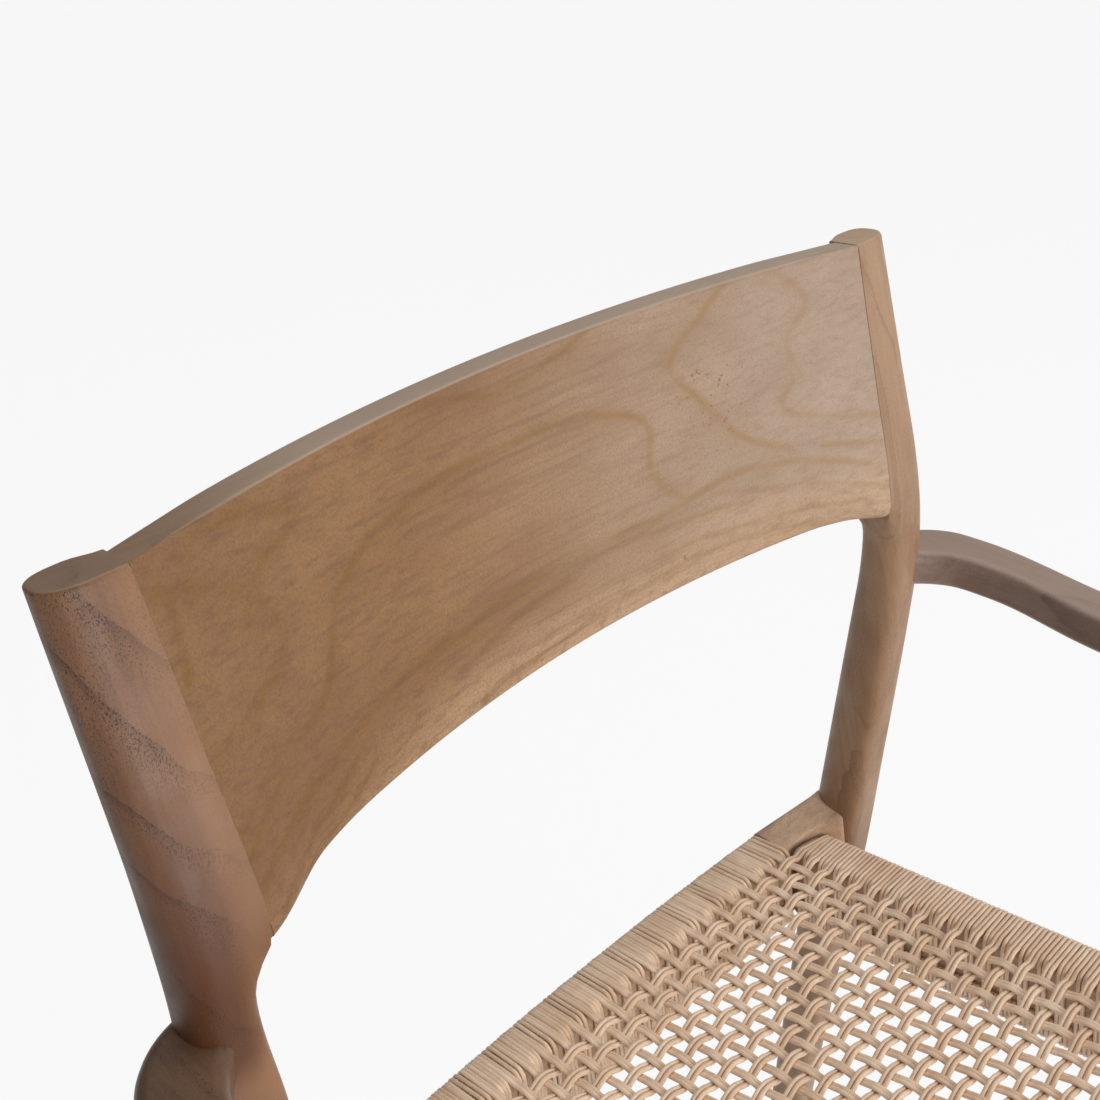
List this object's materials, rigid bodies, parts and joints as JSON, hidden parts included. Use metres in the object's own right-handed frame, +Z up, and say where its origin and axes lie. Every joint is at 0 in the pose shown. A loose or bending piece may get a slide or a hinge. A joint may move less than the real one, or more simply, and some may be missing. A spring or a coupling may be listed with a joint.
{
  "type": "garden armchair",
  "caption": "Timber garden armchair with bent rear posts, a wide curved back panel, sloping armrests and a see-through woven cord seat.",
  "frame": {"origin": "middle of the chair on the floor", "axes": "+Z up, the sitter faces -Y, the sitter's left is +X"},
  "size_m": [0.5736, 0.5194, 0.82],
  "materials": {
    "teak_post": "washed, open pored, warm brown",
    "teak_panel": "washed, sanded, light tan",
    "teak_arm": "washed, greyer brown",
    "teak_leg": "washed, open pored, warm brown",
    "teak_rail": "washed, sanded",
    "cord": "smooth tan synthetic cord with a slight sheen",
    "dowel_wood": "plain beech",
    "steel": "plain",
    "glide": "dark moulded plastic"
  },
  "bodies": {
    "root": {"rear_leg_left": "teak_post", "rear_leg_right": "teak_post", "back_panel": "teak_panel", "armrest_left": "teak_arm", "armrest_right": "teak_arm", "front_leg_left": "teak_leg", "front_leg_right": "teak_leg", "back_rail": "teak_rail", "front_rail": "teak_rail", "side_rail_left": "teak_rail", "side_rail_right": "teak_rail", "warp_cord": "cord", "weft_cord": "cord", "back_winding": "cord", "front_winding": "cord", "side_winding_left": "cord", "side_winding_right": "cord", "panel_dowels": "dowel_wood", "armrest_dowels": "dowel_wood", "side_rail_dowels": "dowel_wood", "cord_tacks": "steel", "glide_nails": "steel", "rear_glide_left": "glide", "rear_glide_right": "glide", "front_glide_left": "glide", "front_glide_right": "glide"}
  },
  "joints": []
}
